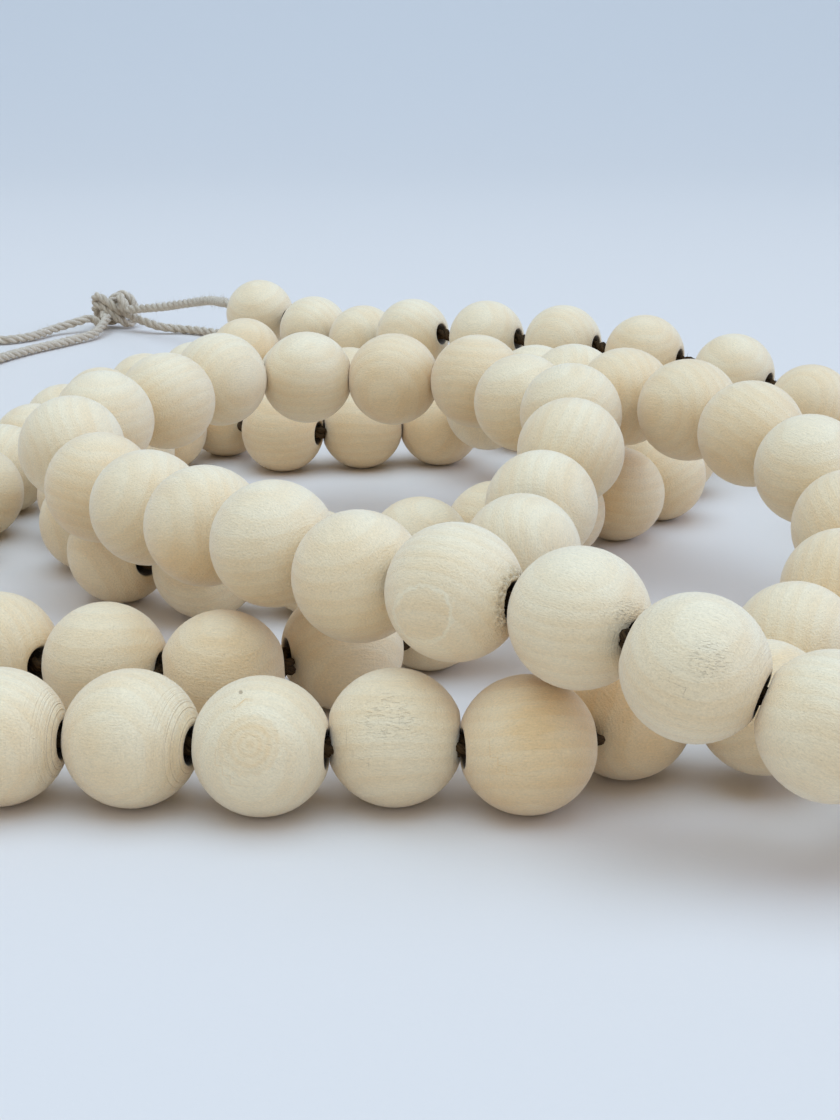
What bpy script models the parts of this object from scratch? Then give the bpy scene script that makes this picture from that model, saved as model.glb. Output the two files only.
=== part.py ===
"""Wood bead garland, laid on a surface in a loose two-layer heap.

One strand of turned wooden beads on jute twine. The twine's two ends meet in
one knot behind the heap, and each leaves a cut tail. Every solid is a short
run of three beads on its stretch of twine; the knot and the bare twine are
solids of their own.
"""

import math

import bmesh
import bpy
import numpy as np
from mathutils import Vector

MM = 0.001

# Beads and twine, in millimetres
BEAD_RADIUS = 10.0
BEAD_FLAT = 9.35            # from a bead's centre to the flat round its drilled hole
BEAD_SEAT = 9.7             # height of the centre of a bead that rests on the surface
SEAT_CATCH = 0.4            # a bead no higher than this above its seat comes to rest
TWINE_RADIUS = 1.5
CLEARANCE = 0.3             # between pieces that touch
NECK_MIN = 0.1              # shortest twine that shows at the end of a run
PITCH_MIN = 2 * BEAD_FLAT + CLEARANCE
PITCH_MAX = 24.0
APART_MIN = 2 * BEAD_RADIUS + CLEARANCE
FULL_TURN = 20.0            # degrees off its hole's line from which a bead is touched beside its flat
SPARE = 0.02                # added by the spacing, so that no gap ends up too narrow
BEADS_PER_RUN = 3
BEAD_COUNT = 117

# Facets of one bead
SIDES = 9
RING_ANGLES = (46.0, 75.0, 105.0, 134.0)
FACET_LOW = 0.9             # corners of a resting bead below this lie on the surface

# The strand lies through these points: bead number, x, y, height of its centre
STRAND_ROUTE = (
    # back row, from the knot to the right
    (0, -22, 120.5, 19.5),
    (1, -5, 105.5, 17),
    (2, 10, 89.5, 17),
    (3, 22, 73.5, 21.5),
    (4, 44, 58.5, 23.5),
    (6, 83, 29.5, 24.5),
    (7, 103, 17.5, 22),
    (8, 119, 0.5, 17.5),
    # down the right side
    (9, 133, -11.5, BEAD_SEAT),
    (11, 130, -46.5, BEAD_SEAT),
    (17, 114, -160.5, BEAD_SEAT),
    (18, 106, -178.5, BEAD_SEAT),
    # long upper stretch, from the front right to the back left
    (20, 78.7, -199.8, 21),
    (21, 62.2, -194.5, 26.4),
    (22, 46.8, -182.5, 28.9),
    (23, 30.6, -172.7, 29.6),
    (24, 16.9, -161.1, 28.8),
    (25, 4, -148.5, 29),
    (27, -20, -119.5, 27),
    (28, -31, -103.5, 26.5),
    (29, -39, -86.5, 29),
    (30, -37, -67.5, 30),
    (31, -26.5, -50.5, 30.5),
    (32, -17, -33.5, 31.5),
    # upper row at the back, then forward to the surface
    (33, 1, -26.5, 30.5),
    (34, 20.5, -28.5, 30.5),
    (35, 38, -35.5, 31.5),
    (36, 47.5, -54, 31),
    (37, 55.5, -71.5, 32.5),
    (38, 54, -91.5, 30),
    (39, 47.5, -109.5, 24.5),
    (40, 42.2, -128, 21),
    (41, 28.4, -124.5, BEAD_SEAT),
    (42, 13.4, -142.2, BEAD_SEAT),
    (43, -5.4, -153, BEAD_SEAT),
    (44, -23.9, -149.3, BEAD_SEAT),
    (45, -41.8, -144.4, BEAD_SEAT),
    # turn at the left, then the front row
    (47, -79, -145.5, BEAD_SEAT),
    (49, -85, -181.5, BEAD_SEAT),
    (51, -53, -183.5, BEAD_SEAT),
    (52, -34.5, -179.3, BEAD_SEAT),
    (53, -15.8, -179.2, BEAD_SEAT),
    (54, 3, -181.1, BEAD_SEAT),
    (55, 21.8, -179, BEAD_SEAT),
    (56, 40.7, -180.4, BEAD_SEAT),
    # climbing the right side to the back
    (57, 58.4, -170, BEAD_SEAT),
    (58, 74.5, -170, 12),
    (59, 85, -154, 15.5),
    (60, 93.5, -138.5, 19.5),
    (61, 97.5, -123, 24),
    (62, 95.5, -105.5, 29),
    (64, 79, -71, 33),
    (66, 58.5, -38.5, 30),
    (67, 52, -18, 26),
    # lower row behind the upper one
    (68, 42, 1, 17.5),
    (69, 30, 16.5, BEAD_SEAT),
    (71, -7, 10.5, BEAD_SEAT),
    (72, -24, 24.5, BEAD_SEAT),
    (74, -41, -10.5, BEAD_SEAT),
    (77, -40.5, -68.5, BEAD_SEAT),
    # lower ring towards the middle
    (78, -31, -88.5, BEAD_SEAT),
    (79, -14, -97.5, BEAD_SEAT),
    (81, 26, -87, BEAD_SEAT),
    (83, 54, -61, BEAD_SEAT),
    (85, 79, -32, BEAD_SEAT),
    # under the back row, then to the left
    (87, 84, 9, BEAD_SEAT),
    (89, 53, 33.5, BEAD_SEAT),
    (91, 21, 55.5, BEAD_SEAT),
    (93, -7, 75, BEAD_SEAT),
    (94, -21, 86, 13),
    # down the left edge, then back to the knot
    (95, -36, 73, BEAD_SEAT),
    (97, -56, 37.5, BEAD_SEAT),
    (100, -67, -26.5, BEAD_SEAT),
    (102, -73, -65.5, BEAD_SEAT),
    (104, -99, -87, BEAD_SEAT),
    (106, -121, -57, BEAD_SEAT),
    (111, -131, 47, BEAD_SEAT),
    (116, -135, 143.5, BEAD_SEAT),
)

# How much of a bead's bend lies on the side of the bead before it; half of it on the others
BEND_SHARES = {20: 1.0, 21: 0.25, 56: 0.2, 57: 0.0}

# Knot: centre and half sizes of its lumpy body
KNOT_CENTRE = (-80.0, 203.5, 6.2)
KNOT_HALF = (9.0, 7.0, 6.6)
KNOT_LOBES = 3
KNOT_LOBE_DEPTH = 0.14

# Bare twine, as points of its centre line between its two ends
TWINE_LOW = TWINE_RADIUS + 0.1
TWINE_ROUTES = {
    # from the first bead over to the knot
    "twine_first": ((-36, 141.5, 19.5), (-41, 156.5, 17.5), (-49, 170.5, 14.5), (-60, 183.5, 11)),
    # from the last bead round to the knot
    "twine_last": ((-134, 164.5, 6), (-128, 172.5, 2.6), (-120, 174.5, TWINE_LOW), (-112, 173.5, TWINE_LOW),
                   (-105, 178.5, TWINE_LOW), (-97, 191.5, 2.6)),
    # cut tail of the first end, to the left
    "tail_first": ((-83, 183.5, 2.4), (-90, 171.5, TWINE_LOW), (-101, 153.5, TWINE_LOW), (-107, 139.5, TWINE_LOW),
                   (-109, 131.5, TWINE_LOW)),
    # cut tail of the last end, to the right
    "tail_last": ((-63, 193.5, 2.6), (-55, 193.5, TWINE_LOW), (-44, 187.5, TWINE_LOW), (-34, 179.5, TWINE_LOW),
                  (-23, 174.5, TWINE_LOW)),
}
TWINE_STRAIGHT = 4.0        # straight out of a bead or the knot
TWINE_STEP = 7.0            # between points along a tube


def clear_scene():
    for old in list(bpy.data.objects):
        bpy.data.objects.remove(old, do_unlink=True)


def make_material(name, colour, roughness):
    material = bpy.data.materials.new(name)
    material.use_nodes = True
    shader = material.node_tree.nodes["Principled BSDF"]
    shader.inputs["Base Color"].default_value = (*colour, 1.0)
    shader.inputs["Roughness"].default_value = roughness
    shader.inputs["Metallic"].default_value = 0.0
    return material


def curve_through(keys, points, at):
    """Smooth curve through points, which it passes at the parameters in keys."""
    keys = np.asarray(keys, float)
    points = np.asarray(points, float)
    slopes = np.gradient(points, keys, axis=0)
    found = []
    for value in at:
        i = int(np.clip(np.searchsorted(keys, value, side="right") - 1, 0, len(keys) - 2))
        span = keys[i + 1] - keys[i]
        t = (value - keys[i]) / span
        start_weight = 2 * t**3 - 3 * t**2 + 1
        start_slope_weight = (t**3 - 2 * t**2 + t) * span
        end_slope_weight = (t**3 - t**2) * span
        found.append(start_weight * points[i] + (1 - start_weight) * points[i + 1]
                     + start_slope_weight * slopes[i] + end_slope_weight * slopes[i + 1])
    return np.array(found)


def least_pitch(directions):
    """Least distance between neighbours: more where the strand bends, because round sides meet there."""
    bend = np.zeros(len(directions) + 1)
    turned = np.clip((directions[1:] * directions[:-1]).sum(axis=1), -1.0, 1.0)
    bend[1:-1] = np.degrees(np.arccos(turned))
    share = np.full(len(bend), 0.5)
    share[list(BEND_SHARES)] = list(BEND_SHARES.values())
    before, after = (BEAD_FLAT + (BEAD_RADIUS - BEAD_FLAT) * np.minimum(1.0, turn / FULL_TURN)**2
                     for turn in (bend * share, bend * (1 - share)))
    return np.maximum(after[:-1] + before[1:], PITCH_MIN)[:, None] + SPARE


def settle(centres, rounds=400):
    """Space the beads along the twine and push apart those that would meet."""
    first, second = np.triu_indices(len(centres), 2)
    for _ in range(rounds):
        along = centres[1:] - centres[:-1]
        length = np.linalg.norm(along, axis=1, keepdims=True)
        wanted = np.clip(length, least_pitch(along / length), PITCH_MAX)
        shift = along * (length - wanted) / length / 2
        centres[:-1] += shift
        centres[1:] -= shift
        apart = centres[second] - centres[first]
        distance = np.linalg.norm(apart, axis=1)
        close = distance < APART_MIN + SPARE
        push = apart[close] * ((APART_MIN + SPARE - distance[close]) / distance[close] / 2)[:, None]
        np.add.at(centres, first[close], -push)
        np.add.at(centres, second[close], push)
        low = centres[:, 2] < BEAD_SEAT + SEAT_CATCH
        centres[low, 2] = BEAD_SEAT
    return centres


def bead_centres():
    rows = np.array(STRAND_ROUTE, float)
    return settle(curve_through(rows[:, 0], rows[:, 1:], range(BEAD_COUNT)))


def ring(centre, axis, offset, radius):
    """Corners of a bead's facet ring, with one facet straight down."""
    up = np.array((0.0, 0.0, 1.0)) - axis * axis[2]
    up /= np.linalg.norm(up)
    side = np.cross(axis, up)
    angles = [math.pi + 2 * math.pi * (k + 0.5) / SIDES for k in range(SIDES)]
    return [centre + axis * offset + radius * (up * math.cos(a) + side * math.sin(a)) for a in angles]


def bead_rings(centre, axis_in, axis_out):
    """Rings of one bead, from the flat that faces the bead before to the one that faces the next."""
    flat_angle = math.degrees(math.acos(BEAD_FLAT / BEAD_RADIUS))
    rings = []
    for angle in (flat_angle, *RING_ANGLES, 180.0 - flat_angle):
        turned = (angle - flat_angle) / (180.0 - 2 * flat_angle)
        axis = axis_in * (1 - turned) + axis_out * turned
        axis /= np.linalg.norm(axis)
        offset = -BEAD_RADIUS * math.cos(math.radians(angle))
        corners = ring(centre, axis, offset, BEAD_RADIUS * math.sin(math.radians(angle)))
        if centre[2] <= BEAD_SEAT:
            for corner in corners:
                if corner[2] < FACET_LOW:
                    corner[2] = 0.0
        rings.append(corners)
    return rings


def neck_rings(start, end, joined):
    """Twine between two beads, which stops just short of the second one if that is another solid."""
    axis = (end - start) / np.linalg.norm(end - start)
    gap = np.linalg.norm(end - start) - 2 * BEAD_FLAT
    if joined:
        places = (gap / 2,) if gap < TWINE_RADIUS else (0.0, gap)
    else:
        places = (0.0, gap - CLEARANCE) if gap > CLEARANCE + NECK_MIN else ()
    return [ring(start, axis, BEAD_FLAT + place, TWINE_RADIUS) for place in places]


def closed_skin(rings):
    """Mesh of a closed tube through the rings, with flat end caps."""
    shell = bmesh.new()
    loops = [[shell.verts.new(Vector(corner) * MM) for corner in corners] for corners in rings]
    for near, far in zip(loops, loops[1:]):
        for k in range(len(near)):
            shell.faces.new((near[k], near[k - 1], far[k - 1], far[k]))
    shell.faces.new(loops[0])
    shell.faces.new(reversed(loops[-1]))
    bmesh.ops.recalc_face_normals(shell, faces=shell.faces)
    return shell


def add_mesh_object(name, shell, material):
    mesh = bpy.data.meshes.new(name)
    shell.to_mesh(mesh)
    shell.free()
    mesh.shade_smooth()
    mesh.set_sharp_from_angle(angle=math.radians(50))
    mesh.materials.append(material)
    piece = bpy.data.objects.new(name, mesh)
    bpy.context.collection.objects.link(piece)
    return piece


def add_bead_runs(centres, material):
    directions = centres[1:] - centres[:-1]
    directions /= np.linalg.norm(directions, axis=1, keepdims=True)
    for start in range(0, BEAD_COUNT, BEADS_PER_RUN):
        rings = []
        for i in range(start, start + BEADS_PER_RUN):
            axis_in = directions[max(i - 1, 0)]
            axis_out = directions[min(i, BEAD_COUNT - 2)]
            rings += bead_rings(centres[i], axis_in, axis_out)
            if i < BEAD_COUNT - 1:
                rings += neck_rings(centres[i], centres[i + 1], i < start + BEADS_PER_RUN - 1)
        add_mesh_object(f"beads_{start // BEADS_PER_RUN + 1:02d}", closed_skin(rings), material)


def knot_reach(direction):
    """Distance from the knot's centre to its lobed surface."""
    x, y, z = direction / np.linalg.norm(direction)
    oval = 1 / math.sqrt((x / KNOT_HALF[0])**2 + (y / KNOT_HALF[1])**2 + (z / KNOT_HALF[2])**2)
    around = math.atan2(z, y)
    lobes = math.cos(KNOT_LOBES * around + 4.0 * x) * (1 - x * x)
    return oval * (1 + KNOT_LOBE_DEPTH * lobes)


def add_knot(material):
    shell = bmesh.new()
    bmesh.ops.create_uvsphere(shell, u_segments=16, v_segments=10, radius=1.0)
    for corner in shell.verts:
        direction = np.array(corner.co)
        place = np.array(KNOT_CENTRE) + direction / np.linalg.norm(direction) * knot_reach(direction)
        place[2] = max(place[2], 0.0)
        corner.co = Vector(place) * MM
    add_mesh_object("knot", shell, material)


def seat_at_knot(toward):
    """Two points straight out of the knot: the place of a twine's flat end, and one further on."""
    knot = np.array(KNOT_CENTRE)
    along = toward - knot
    along /= np.linalg.norm(along)
    side = np.cross(along, (0.0, 0.0, 1.0))
    side /= np.linalg.norm(side)
    up = np.cross(side, along)
    rim = [TWINE_RADIUS * (side * math.cos(a) + up * math.sin(a)) for a in np.linspace(0, math.tau, SIDES)]
    reach = max(knot_reach(along * max(KNOT_HALF) + offset) for offset in rim) + CLEARANCE
    return knot + along * reach, knot + along * (reach + TWINE_STRAIGHT)


def twine_points(name, centres):
    """Centre line of a bare stretch: from its bead or from the knot, through its route."""
    route = [np.array(point, float) for point in TWINE_ROUTES[name]]
    if name.startswith("twine"):
        near, bead = (centres[1], centres[0]) if name == "twine_first" else (centres[-2], centres[-1])
        out = (bead - near) / np.linalg.norm(bead - near)
        seat = bead + out * (BEAD_FLAT + CLEARANCE)
        end, before_end = seat_at_knot(route[-1])
        route = [seat, seat + out * TWINE_STRAIGHT, *route, before_end, end]
    else:
        route = [*seat_at_knot(route[0]), *route]
    steps = [0.0]
    for start, end in zip(route, route[1:]):
        steps.append(steps[-1] + np.linalg.norm(end - start))
    count = max(2, round(steps[-1] / TWINE_STEP))
    points = curve_through(steps, route, np.linspace(0.0, steps[-1], count + 1))
    points[:, 2] = np.maximum(points[:, 2], TWINE_LOW)
    return points


def add_twine(name, points, material):
    curve = bpy.data.curves.new(name, "CURVE")
    curve.dimensions = "3D"
    curve.bevel_depth = TWINE_RADIUS * MM
    curve.bevel_resolution = 2
    curve.use_fill_caps = True
    line = curve.splines.new("POLY")
    line.points.add(len(points) - 1)
    for target, point in zip(line.points, points):
        target.co = (*(point * MM), 1.0)
    line.use_smooth = True
    curve.materials.append(material)
    piece = bpy.data.objects.new(name, curve)
    bpy.context.collection.objects.link(piece)


def main():
    clear_scene()
    wood = make_material("natural_wood", (0.74, 0.63, 0.44), 0.6)
    jute = make_material("jute_twine", (0.42, 0.33, 0.22), 0.95)
    centres = bead_centres()
    add_bead_runs(centres, wood)
    add_knot(jute)
    for name in TWINE_ROUTES:
        add_twine(name, twine_points(name, centres), jute)


main()
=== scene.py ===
"""Wood bead garland: its turned beads, jute twine and knot, and the pale surface it lies on."""

import math

import bmesh
import bpy
import numpy as np
from bpy.props import FloatProperty, FloatVectorProperty, IntProperty, PointerProperty
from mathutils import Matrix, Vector, noise


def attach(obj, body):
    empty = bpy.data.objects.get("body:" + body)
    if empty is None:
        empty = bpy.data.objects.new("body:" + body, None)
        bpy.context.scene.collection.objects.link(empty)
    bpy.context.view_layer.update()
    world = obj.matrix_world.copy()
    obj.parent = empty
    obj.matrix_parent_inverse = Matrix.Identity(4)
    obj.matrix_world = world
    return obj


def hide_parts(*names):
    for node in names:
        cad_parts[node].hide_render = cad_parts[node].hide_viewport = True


bl_info = {
    "name": "Wood Bead Garland",
    "version": (1, 0, 0),
    "blender": (4, 5, 0),
    "location": "3D View > Sidebar > Garland",
    "description": "Turned wooden beads on jute twine, lying in a loose heap",
    "category": "Add Mesh",
}

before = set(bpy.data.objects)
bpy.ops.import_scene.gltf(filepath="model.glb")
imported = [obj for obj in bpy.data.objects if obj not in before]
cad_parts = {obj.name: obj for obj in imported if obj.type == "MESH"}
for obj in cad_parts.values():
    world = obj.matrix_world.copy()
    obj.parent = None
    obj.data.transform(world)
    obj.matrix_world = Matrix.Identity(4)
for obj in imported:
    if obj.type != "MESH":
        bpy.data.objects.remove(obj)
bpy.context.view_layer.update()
MM = 0.001

# The strand, in millimetres
BEAD_SEAT = 9.7  # height of the centre of a bead that rests on the surface
SEAT_CATCH = 0.4  # a bead this little above that height is let down onto the surface
CLEARANCE = 0.3  # between beads that aren't neighbours on the twine
SPARE = 0.02  # added to each least distance
FULL_TURN = 20.0  # bend, in degrees, from which neighbours meet at their round sides
LEAST_BEND = 0.01  # in degrees, so that beads of a straight stretch still have a direction
PITCH_MAX = 24.0  # the furthest that neighbours lie apart
PRESSED = 0.03  # from a bead to the plane halfway to the next one
SETTLE_ROUNDS = 400
BEADS_PER_RUN = 3
BEAD_COUNT = 117

# The strand lies through these points: bead number, x, y, and the height of its centre where it
# doesn't rest on the surface
STRAND_ROUTE = (
    # back row, from the knot to the right
    (0, -22, 120.5, 19.5), (1, -5, 105.5, 17), (2, 10, 89.5, 17), (3, 22, 73.5, 21.5),
    (4, 44, 58.5, 23.5), (6, 83, 29.5, 24.5), (7, 103, 17.5, 22), (8, 119, 0.5, 17.5),
    # down the right side
    (9, 133, -11.5), (11, 130, -46.5), (17, 114, -160.5),
    (18, 106, -178.5),
    # long upper stretch, from the front right to the back left
    (20, 78.7, -199.8, 21), (21, 62.2, -194.5, 26.4), (22, 46.8, -182.5, 28.9), (23, 30.6, -172.7, 29.6),
    (24, 16.9, -161.1, 28.8), (25, 4, -148.5, 29), (27, -20, -119.5, 27), (28, -31, -103.5, 26.5),
    (29, -39, -86.5, 29), (30, -37, -67.5, 30), (31, -26.5, -50.5, 30.5), (32, -17, -33.5, 31.5),
    # upper row at the back, then forward to the surface
    (33, 1, -26.5, 30.5), (34, 20.5, -28.5, 30.5), (35, 38, -35.5, 31.5), (36, 47.5, -54, 31),
    (37, 55.5, -71.5, 32.5), (38, 54, -91.5, 30), (39, 47.5, -109.5, 24.5), (40, 42.2, -128, 21),
    (41, 28.4, -124.5), (42, 13.4, -142.2), (43, -5.4, -153),
    (44, -23.9, -149.3), (45, -41.8, -144.4),
    # turn at the left, then the front row
    (47, -79, -145.5), (49, -85, -181.5), (51, -53, -183.5),
    (52, -34.5, -179.3), (53, -15.8, -179.2), (54, 3, -181.1),
    (55, 21.8, -179), (56, 40.7, -180.4),
    # climbing the right side to the back
    (57, 58.4, -170), (58, 74.5, -170, 12), (59, 85, -154, 15.5), (60, 93.5, -138.5, 19.5),
    (61, 97.5, -123, 24), (62, 95.5, -105.5, 29), (64, 79, -71, 33), (66, 58.5, -38.5, 30),
    (67, 52, -18, 26),
    # lower row behind the upper one
    (68, 42, 1, 17.5), (69, 30, 16.5), (71, -7, 10.5), (72, -24, 24.5),
    (74, -41, -10.5), (77, -40.5, -68.5),
    # lower ring towards the middle
    (78, -31, -88.5), (79, -14, -97.5), (81, 26, -87),
    (83, 54, -61), (85, 79, -32),
    # under the back row, then to the left
    (87, 84, 9), (89, 53, 33.5), (91, 21, 55.5), (93, -7, 75),
    (94, -21, 86, 13),
    # down the left edge, then back to the knot
    (95, -36, 73), (97, -56, 37.5), (100, -67, -26.5),
    (102, -73, -65.5), (104, -99, -87), (106, -121, -57),
    (111, -131, 47), (116, -135, 143.5),
)

# How much of a bead's bend lies on the side of the bead before it; half of it on the others
BEND_SHARES = {20: 1.0, 21: 0.25, 56: 0.2, 57: 0.0}

# Beads turned on the twine, in degrees about the vertical
BEAD_TURNS = {0: 14, 1: 14, 2: 16, 3: 12, 4: 8, 5: 8, 6: 6, 7: 6, 21: 2, 22: -6, 23: 5, 42: -22, 45: -20, 52: -14,
              53: -12, 54: -7, 56: 7, 58: -20}
# Beads whose hole points its own way
BEAD_AXES = {40: (-0.12, -0.75, -0.65)}

# Knot: centre and half sizes of its body
KNOT_CENTRE = (-80.0, 203.5, 6.2)
KNOT_HALF = (9.0, 7.0, 6.6)
KNOT_LOBES = 3
KNOT_LOBE_DEPTH = 0.14
KNOT_LOBE_TURN = 4.0  # how far the lobes wind along the knot

# Bare twine, as points of its centre line between its two ends: x, y, and its height where it
# doesn't lie on the surface
TWINE_LOW = 1.6  # least height of its centre line
TWINE_ROUTES = {
    "twine_first": ((-36, 141.5, 19.5), (-41, 156.5, 17.5), (-49, 170.5, 14.5), (-60, 183.5, 11)),
    "twine_last": ((-134, 164.5, 6), (-128, 172.5, 2.6), (-120, 174.5), (-112, 173.5),
                   (-105, 178.5), (-97, 191.5, 2.6)),
    "tail_first": ((-83, 183.5, 2.4), (-90, 171.5), (-101, 153.5), (-107, 139.5),
                   (-109, 131.5)),
    "tail_last": ((-63, 193.5, 2.6), (-55, 193.5), (-44, 187.5), (-34, 179.5),
                  (-23, 174.5)),
}
TWINE_STRAIGHT = 4.0  # straight out of a bead or the knot
FINE_STEP = 0.5  # between the rings of a twine
RIM_STEPS = 9  # places on a twine's end that are kept out of the knot
STEEP = 0.9  # upward share from which a direction counts as steep


def metres(name, description, default, **limits):
    """A length of a piece, in metres."""
    return FloatProperty(name=name, description=description, default=default, unit="LENGTH", **limits)


def tint(name, description, *default):
    """A colour of a finish."""
    return FloatVectorProperty(name=name, description=description, default=default, subtype="COLOR")


class GarlandSizes(bpy.types.PropertyGroup):
    """Sizes that a maker would choose."""

    bead_radius: metres("Bead radius", "Half of a bead's diameter", 0.010, min=0.004)
    bead_flat: metres("Flat", "From a bead's centre to the flat round its hole", 0.00935)
    hole_radius: metres("Hole radius", "Half of the drilled hole's diameter", 0.0025)
    mouth_radius: metres("Mouth radius", "Half of the hole's width at the flat", 0.0029)
    rim_round: metres("Rim rounding", "Rounding between a flat and the round side", 0.0004)
    segments: IntProperty(name="Segments", description="Faces round a bead", default=48, min=12, max=96)
    rings: IntProperty(name="Rings", description="Faces along a bead, uncut", default=26, min=8, max=48)
    twine_diameter: metres("Twine diameter", "Across the three twisted plies", 0.003)
    twine_lay: metres("Twist", "Length of twine in which a ply goes once round", 0.0095)
    fibre_radius: metres("Fibre radius", "Half the thickness of one loose fibre", 0.000035)


class GarlandColours(bpy.types.PropertyGroup):
    """Colours of the finishes."""

    wood_pale: tint("Pale wood", "Most of the wood", 0.89, 0.735, 0.485)
    wood_warm: tint("Warm wood", "Warm patches and late wood", 0.80, 0.535, 0.256)
    wood_fleck: tint("Flecks", "Short dark fibres in the wood", 0.36, 0.24, 0.12)
    # Painted shade: a near-black colour for the inside of the hole and its mouth
    hole: tint("Drilled hole", "Shaded wood inside the hole", 0.07, 0.045, 0.025)
    # Painted shade: the twine in and between the beads is coloured near-black
    shaded_twine_pale: tint("Light jute", "Light fibres of the twine in the beads", 0.095, 0.053, 0.022)
    shaded_twine_dark: tint("Dark jute", "Dark fibres of the twine in the beads", 0.018, 0.010, 0.005)
    # Painted light: the bare twine is coloured much paler than the same twine in the beads
    lit_bare_pale: tint("Light bare jute", "Light fibres of the lit bare twine", 0.80, 0.68, 0.52)
    lit_bare_dark: tint("Dark bare jute", "Dark fibres of the lit bare twine", 0.48, 0.375, 0.26)
    surface: tint("Surface", "Pale surface under the garland", 0.73, 0.655, 0.58)
    # Painted shade and light: the surface is darker far behind the garland and paler far to the sides and in front
    far_surface_shade: tint("Far surface", "The surface far behind the garland", 0.61, 0.595, 0.57)
    lit_surface_edge: tint("Surface edge", "The surface far to the sides and in front", 0.79, 0.75, 0.70)


def deselect_all():
    """Object mode with nothing selected."""
    if bpy.context.object is not None and bpy.context.object.mode != "OBJECT":
        bpy.ops.object.mode_set(mode="OBJECT")
    bpy.ops.object.select_all(action="DESELECT")


def unit(vectors):
    """Vectors of length one."""
    vectors = np.asarray(vectors, float)
    return vectors / np.linalg.norm(vectors, axis=-1, keepdims=True)


def square_to(direction):
    """A direction square to another: level, unless the other is steep."""
    return unit(np.cross(direction, (0.0, 0.0, 1.0) if abs(direction[2]) < STEEP else (1.0, 0.0, 0.0)))


def distances_along(line):
    """How far each point of a line is from its start, along it."""
    return np.concatenate([[0.0], np.cumsum(np.linalg.norm(np.diff(line, axis=0), axis=1))])


class Parts:
    """Shapes, in millimetres, that become one mesh with named vector fields on its corners."""

    def __init__(self):
        self.corners, self.faces, self.fields, self.count = [], [], {}, 0

    def add(self, corners, faces, **fields):
        self.corners.append(np.asarray(corners))
        self.faces += [tuple(c + self.count for c in face) for face in faces]
        for name, values in fields.items():
            self.fields.setdefault(name, []).append(values)
        self.count += len(corners)

    def finish(self, name, material):
        mesh = bpy.data.meshes.new(name)
        mesh.from_pydata((np.concatenate(self.corners) * MM).tolist(), [], self.faces)
        for field, values in self.fields.items():
            stored = mesh.attributes.new(field, "FLOAT_VECTOR", "POINT")
            stored.data.foreach_set("vector", np.concatenate(values).astype(np.float32).ravel())
        mesh.materials.append(material)
        mesh.shade_smooth()
        piece = bpy.data.objects.new(name, mesh)
        bpy.context.collection.objects.link(piece)
        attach(piece, "root")
        return piece


# The strand's layout

def curve_shares(t):
    """How much a curve's start, its slope there and its slope at the end count at t. The end has the rest."""
    return 2 * t**3 - 3 * t**2 + 1, t**3 - 2 * t**2 + t, t**3 - t**2


def curve_through(keys, points, at):
    """Smooth curve through points, which it passes at the parameters in keys."""
    keys = np.asarray(keys, float)
    points = np.asarray(points, float)
    slopes = np.gradient(points, keys, axis=0)
    found = []
    for value in at:
        i = int(np.clip(np.searchsorted(keys, value, side="right") - 1, 0, len(keys) - 2))
        span = keys[i + 1] - keys[i]
        start, leaving, arriving = curve_shares((value - keys[i]) / span)
        found.append(start * points[i] + (1 - start) * points[i + 1]
                     + leaving * span * slopes[i] + arriving * span * slopes[i + 1])
    return np.array(found)


def bends_of(directions):
    """At each bead, how far the strand turns, in degrees, and the share of it on the side of the bead before."""
    bend = np.zeros(len(directions) + 1)
    turned = np.clip((directions[1:] * directions[:-1]).sum(axis=1), -1.0, 1.0)
    bend[1:-1] = np.degrees(np.arccos(turned))
    share = np.full(len(bend), 0.5)
    share[list(BEND_SHARES)] = list(BEND_SHARES.values())
    return bend, share


def least_pitch(directions, radius, flat):
    """Least distance between neighbours: more where the strand bends, because round sides meet there."""
    bend, share = bends_of(directions)
    before, after = (flat + (radius - flat) * np.minimum(1.0, turn / FULL_TURN)**2
                     for turn in (bend * share, bend * (1 - share)))
    return np.maximum(after[:-1] + before[1:], 2 * flat + CLEARANCE)[:, None] + SPARE


def settle(centres, radius, flat):
    """Space the beads along the twine and push apart those that would meet."""
    first, second = np.triu_indices(len(centres), 2)
    least = 2 * radius + CLEARANCE + SPARE
    for _ in range(SETTLE_ROUNDS):
        along = centres[1:] - centres[:-1]
        length = np.linalg.norm(along, axis=1, keepdims=True)
        wanted = np.clip(length, least_pitch(along / length, radius, flat), PITCH_MAX)
        shift = along * (length - wanted) / length / 2
        centres[:-1] += shift
        centres[1:] -= shift
        apart = centres[second] - centres[first]
        distance = np.linalg.norm(apart, axis=1)
        close = distance < least
        push = apart[close] * ((least - distance[close]) / distance[close] / 2)[:, None]
        np.add.at(centres, first[close], -push)
        np.add.at(centres, second[close], push)
        low = centres[:, 2] < BEAD_SEAT + SEAT_CATCH
        centres[low, 2] = BEAD_SEAT
    return centres


class Strand:
    """The twine's measures, where every bead sits and which way its hole points, in millimetres."""

    def __init__(self, sizes):
        self.radius = sizes.bead_radius / MM
        self.flat = sizes.bead_flat / MM
        self.twine = sizes.twine_diameter / MM / 2
        self.lay = sizes.twine_lay / MM
        self.thread = sizes.fibre_radius / MM
        rows = np.array([(*row, BEAD_SEAT)[:4] for row in STRAND_ROUTE], float)
        at = range(BEAD_COUNT)
        self.centres = settle(curve_through(rows[:, 0], rows[:, 1:], at), self.radius, self.flat)
        steps = unit(self.centres[1:] - self.centres[:-1])
        bend, share = bends_of(steps)
        bend = np.radians(np.maximum(bend, LEAST_BEND))
        before = np.sin(bend * (1 - share))[:, None]
        after = np.sin(bend * share)[:, None]
        self.axes = unit(before * np.concatenate([steps[:1], steps]) + after * np.concatenate([steps, steps[-1:]]))
        for bead, degrees in BEAD_TURNS.items():
            x, y, z = self.axes[bead]
            turn = math.radians(degrees)
            self.axes[bead] = (x * math.cos(turn) - y * math.sin(turn), x * math.sin(turn) + y * math.cos(turn), z)
        for bead, axis in BEAD_AXES.items():
            self.axes[bead] = unit(axis)


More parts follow.
